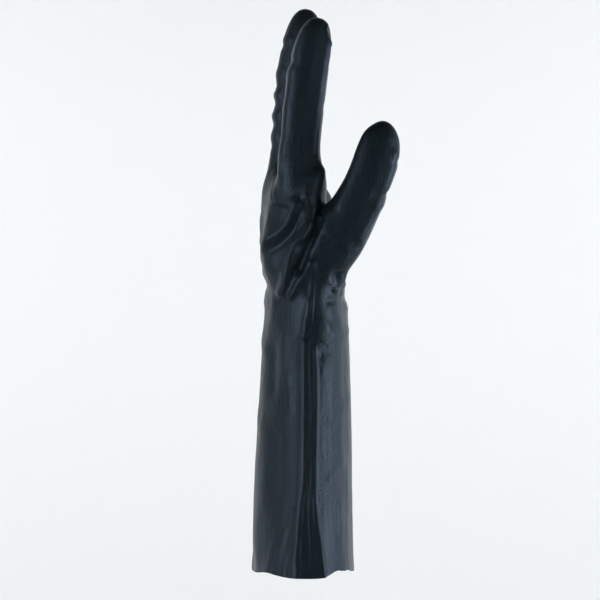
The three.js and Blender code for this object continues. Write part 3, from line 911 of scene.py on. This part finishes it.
INSIDE_MATERIAL = 1  # its place among the piece's materials
MOUTH_DEPTH = 20  # millimetres of the inside that keep their full mesh
INSIDE_SHARE = 0.25  # of the faces further in that are kept


def thin_inside(piece):
    """Thins the mesh of the inside, which shows no more than its shape."""
    bpy.ops.object.mode_set(mode="EDIT")
    mesh = edit_mesh(piece)
    inner = [f for f in mesh.faces if f.material_index == INSIDE_MATERIAL]
    deep = [f for f in inner if f.calc_center_median().z > MOUTH_DEPTH * MM]
    select_only(piece, mesh, "FACE", deep)
    bpy.ops.mesh.decimate(ratio=INSIDE_SHARE)
    bpy.ops.object.mode_set(mode="OBJECT")


# Materials


def add_node(tree, kind, inputs=None, **settings):
    """A node with its settings, and its inputs as values or as the sockets linked to them."""
    node = tree.nodes.new(kind)
    for name, value in settings.items():
        setattr(node, name, value)
    for name, value in (inputs or {}).items():
        if isinstance(value, bpy.types.NodeSocket):
            tree.links.new(value, node.inputs[name])
        else:
            node.inputs[name].default_value = value
    return node


def new_material(name):
    """A material with an empty node tree, the tree, and the object coordinates for its textures."""
    material = bpy.data.materials.new(name)
    material.use_nodes = True
    tree = material.node_tree
    tree.nodes.clear()
    place = add_node(tree, "ShaderNodeTexCoord").outputs["Object"]
    return material, tree, place


def per_metre(size):
    """A noise texture's scale for features of this size in millimetres."""
    return 1 / (size * MM)


BLOOM = from_hex("d6e7f2")  # the cool tint of the wax that rises to the rubber's surface


def dipped_rubber(finish):
    """Butyl rubber, dipped on a mould: near black and satin, streaked downwards where the dip
    ran off, with a fine orange peel that breaks up the lights."""
    material, tree, place = new_material("butyl_rubber_dipped")
    drawn_out = add_node(
        tree,
        "ShaderNodeMapping",
        {"Vector": place, "Scale": (1.0, 1.0, 0.16)},
    )
    streaks = add_node(
        tree,
        "ShaderNodeTexNoise",
        {
            "Vector": drawn_out.outputs["Vector"],
            "Scale": per_metre(3.4),
            "Detail": 4.0,
            "Roughness": 0.62,
        },
    )
    peel = add_node(
        tree,
        "ShaderNodeTexNoise",
        {"Vector": place, "Scale": per_metre(2.2), "Detail": 3.0, "Roughness": 0.6},
    )
    rough = add_node(
        tree,
        "ShaderNodeMapRange",
        {
            "Value": streaks.outputs["Fac"],
            "From Min": 0.3,
            "From Max": 0.7,
            "To Min": finish.roughness - 0.07,
            "To Max": finish.roughness + 0.07,
        },
    )
    runs = add_node(
        tree,
        "ShaderNodeBump",
        {"Height": streaks.outputs["Fac"], "Strength": 0.5, "Distance": 0.5 * MM},
    )
    grain = add_node(
        tree,
        "ShaderNodeBump",
        {
            "Height": peel.outputs["Fac"],
            "Strength": 0.7,
            "Distance": 0.45 * MM,
            "Normal": runs.outputs["Normal"],
        },
    )
    shader = add_node(
        tree,
        "ShaderNodeBsdfPrincipled",
        {
            "Base Color": finish.rubber,
            "Roughness": rough.outputs["Result"],
            "IOR": 1.5,
            "Specular Tint": BLOOM,
            "Sheen Weight": 0.05,
            "Sheen Roughness": 0.45,
            "Sheen Tint": BLOOM,
            "Normal": grain.outputs["Normal"],
        },
    )
    add_node(tree, "ShaderNodeOutputMaterial", {"Surface": shader.outputs["BSDF"]})
    return material


def matt_inside(finish):
    """The same rubber inside, chlorinated: matt and dusty, so that a hand slides in."""
    material, tree, place = new_material("butyl_rubber_chlorinated")
    dust = add_node(
        tree,
        "ShaderNodeTexNoise",
        {"Vector": place, "Scale": per_metre(3), "Detail": 3.0, "Roughness": 0.6},
    )
    bump = add_node(
        tree,
        "ShaderNodeBump",
        {"Height": dust.outputs["Fac"], "Strength": 0.3, "Distance": 0.2 * MM},
    )
    shader = add_node(
        tree,
        "ShaderNodeBsdfPrincipled",
        {
            "Base Color": finish.inside,
            "Roughness": 0.75,
            "IOR": 1.52,
            "Normal": bump.outputs["Normal"],
        },
    )
    add_node(tree, "ShaderNodeOutputMaterial", {"Surface": shader.outputs["BSDF"]})
    return material


def studio_paper(finish):
    """Seamless background paper: matt and almost white."""
    material, tree, _ = new_material("background_paper_rolled")
    shader = add_node(
        tree,
        "ShaderNodeBsdfPrincipled",
        {"Base Color": finish.paper, "Roughness": 0.9, "Specular IOR Level": 0.1},
    )
    add_node(tree, "ShaderNodeOutputMaterial", {"Surface": shader.outputs["BSDF"]})
    return material


# The pieces and the stage


SMOOTH_ANGLE = 60  # degrees: an edge that turns more, such as the hem's, stays sharp


class GLOVE_OT_add_shell(bpy.types.Operator):
    """Model the glove's rubber wall with its folds"""

    bl_idname = "glove.add_shell"
    bl_label = "Add glove shell"
    bl_options = {"REGISTER", "UNDO"}

    def execute(self, context):
        sizes, finish = context.scene.glove_sizes, context.scene.glove_finish
        piece = model_tube(sizes)
        model_webs(piece)
        for number in range(len(FINGERS)):
            model_finger(piece, number)
        model_thumb(piece)
        bpy.ops.mesh.select_all(action="SELECT")
        bpy.ops.mesh.normals_make_consistent(inside=False)
        bpy.ops.object.mode_set(mode="OBJECT")
        piece.name = piece.data.name = "rubber_glove"
        for label in ("row", "column"):
            piece.data.attributes.remove(piece.data.attributes[label])
        apply_modifier(piece, "SUBSURF", levels=sizes.smoothness, render_levels=sizes.smoothness)
        refine(piece)
        relieve(piece, sizes.folds)
        stretch = sizes.length / MM / DESIGN_LENGTH
        piece.data.transform(Matrix.Diagonal((1, 1, stretch, 1)))
        piece.data.materials.append(dipped_rubber(finish))
        piece.data.materials.append(matt_inside(finish))
        apply_modifier(
            piece,
            "SOLIDIFY",
            thickness=sizes.wall,
            offset=-1,
            material_offset=INSIDE_MATERIAL,
            use_rim=True,
        )
        thin_inside(piece)
        bpy.ops.object.shade_smooth_by_angle(angle=math.radians(SMOOTH_ANGLE))
        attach(piece, "root")
        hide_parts(NODE)
        return {"FINISHED"}


# The studio, in metres
CAMERA_AT = Vector((-0.0019, -1.6, 0.1711))
FRAME_WIDTH = 0.3813  # across the picture at the glove
SENSOR = 36.0  # millimetres
FLOOR = -1.3  # far enough below the glove to stay out of the picture
FLOOR_START = 0.3  # radius of the disc in its middle
STUDIO_RADIUS = 3.2
STUDIO_SIDES = 96
COVE = 1.0  # radius of the curve from floor to wall
COVE_STEPS = 8
STUDIO_HEIGHT = 6.2
WORLD_COLOUR = "eef2f6"
WORLD_STRENGTH = 0.03  # next to nothing, so that the lights alone shape the rubber
# Area lights: place, what they are aimed at, width and height in metres, power in watts, how far
# they spread in degrees and their colour
Light = namedtuple("Light", "name at aim size watts spread colour")
LIGHTS = [
    Light("left_box", (-1.5, 0.95, 0.25), (0, 0, 0.17), (1.1, 1.7), 0.6, 120, "c4dcff"),
    Light("right_box", (1.4, 0.95, 0.25), (0, 0, 0.17), (0.9, 1.7), 1.3, 120, "c4dcff"),
    Light("left_front", (-1.45, -0.8, 0.1), (0, 0, 0.1), (0.4, 1.3), 2.4, 90, "dbe8ff"),
    Light("right_front", (1.6, -0.3, -0.15), (0, 0, 0.05), (1.1, 1.3), 5.2, 90, "dbe8ff"),
    Light("backdrop_left", (-1.3, 1.2, 0.65), (-0.6, 3.2, 0.1), (0.8, 1.6), 19.8, 150, "fdfeff"),
    Light("backdrop_right", (1.3, 1.2, 0.65), (0.6, 3.2, 0.1), (0.8, 1.6), 19.8, 150, "fdfeff"),
]


class GLOVE_OT_add_studio(bpy.types.Operator):
    """Build the studio: floor and backdrop in one sweep, lights and camera"""

    bl_idname = "glove.add_studio"
    bl_label = "Add studio"
    bl_options = {"REGISTER", "UNDO"}

    def execute(self, context):
        self.add_sweep(context)
        for light in LIGHTS:
            self.add_light(light)
        self.add_camera(context)
        world = bpy.data.worlds.new("studio")
        world.use_nodes = True
        background = world.node_tree.nodes["Background"]
        background.inputs["Color"].default_value = from_hex(WORLD_COLOUR)
        background.inputs["Strength"].default_value = WORLD_STRENGTH
        context.scene.world = world
        context.scene.view_settings.view_transform = "Standard"
        return {"FINISHED"}

    def add_sweep(self, context):
        """The floor, a cove and a wall all round: a disc whose edge is extruded up a profile."""
        bpy.ops.object.select_all(action="DESELECT")
        bpy.ops.mesh.primitive_circle_add(
            vertices=STUDIO_SIDES, radius=FLOOR_START, fill_type="NGON"
        )
        sweep = bpy.context.active_object
        profile = [(STUDIO_RADIUS - COVE, 0.0)]
        for step in range(1, COVE_STEPS + 1):
            angle = math.radians(90 * step / COVE_STEPS)
            reach = STUDIO_RADIUS - COVE + COVE * math.sin(angle)
            profile.append((reach, COVE - COVE * math.cos(angle)))
        profile.append((STUDIO_RADIUS, STUDIO_HEIGHT))
        bpy.ops.object.mode_set(mode="EDIT")
        bpy.ops.mesh.select_all(action="SELECT")
        bpy.ops.mesh.normals_make_consistent(inside=False)
        mesh = edit_mesh(sweep)
        select_only(sweep, mesh, "EDGE", list(mesh.edges))
        last = (FLOOR_START, 0.0)
        for radius, height in profile:
            bpy.ops.mesh.extrude_edges_move()
            grow = radius / last[0]
            bpy.ops.transform.resize(value=(grow, grow, 1))
            bpy.ops.transform.translate(value=(0, 0, height - last[1]))
            last = (radius, height)
        bpy.ops.mesh.select_all(action="SELECT")
        bpy.ops.mesh.normals_make_consistent(inside=True)
        bpy.ops.object.mode_set(mode="OBJECT")
        bpy.ops.object.shade_smooth()
        sweep.data.transform(Matrix.Translation((0, 0, FLOOR)))
        sweep.name = sweep.data.name = "floor_and_backdrop"
        sweep.data.materials.append(studio_paper(context.scene.glove_finish))

    def add_light(self, light):
        data = bpy.data.lights.new(light.name, "AREA")
        data.shape = "RECTANGLE"
        data.size, data.size_y = light.size
        data.energy = light.watts
        data.spread = math.radians(light.spread)
        data.color = from_hex(light.colour)[:3]
        lamp = bpy.data.objects.new(light.name, data)
        lamp.location = light.at
        way = Vector(light.aim) - Vector(light.at)
        lamp.rotation_euler = way.to_track_quat("-Z", "Y").to_euler()
        lamp.visible_camera = False
        bpy.context.scene.collection.objects.link(lamp)

    def add_camera(self, context):
        data = bpy.data.cameras.new("camera")
        data.sensor_width = SENSOR
        data.lens = SENSOR * -CAMERA_AT.y / FRAME_WIDTH
        data.clip_start, data.clip_end = 0.05, 20
        camera = bpy.data.objects.new("camera", data)
        camera.location = CAMERA_AT
        camera.rotation_euler = (math.radians(90), 0, 0)
        context.scene.collection.objects.link(camera)
        context.scene.camera = camera


class GLOVE_PT_panel(bpy.types.Panel):
    """The glove's sizes, its finish and its operators"""

    bl_label = "Chemical-resistant glove"
    bl_idname = "GLOVE_PT_panel"
    bl_space_type = "VIEW_3D"
    bl_region_type = "UI"
    bl_category = "Glove"

    def draw(self, context):
        for group in (context.scene.glove_sizes, context.scene.glove_finish):
            box = self.layout.box()
            for name in group.bl_rna.properties.keys():
                if name not in ("rna_type", "name"):
                    box.prop(group, name)
        self.layout.operator(GLOVE_OT_add_shell.bl_idname)
        self.layout.operator(GLOVE_OT_add_studio.bl_idname)


CLASSES = (GloveSizes, GloveFinish, GLOVE_OT_add_shell, GLOVE_OT_add_studio, GLOVE_PT_panel)


def register():
    for cls in CLASSES:
        bpy.utils.register_class(cls)
    bpy.types.Scene.glove_sizes = bpy.props.PointerProperty(type=GloveSizes)
    bpy.types.Scene.glove_finish = bpy.props.PointerProperty(type=GloveFinish)


def unregister():
    del bpy.types.Scene.glove_finish
    del bpy.types.Scene.glove_sizes
    for cls in reversed(CLASSES):
        bpy.utils.unregister_class(cls)


def main():
    register()
    bpy.ops.glove.add_shell()
    bpy.ops.glove.add_studio()


if __name__ == "__main__":
    main()
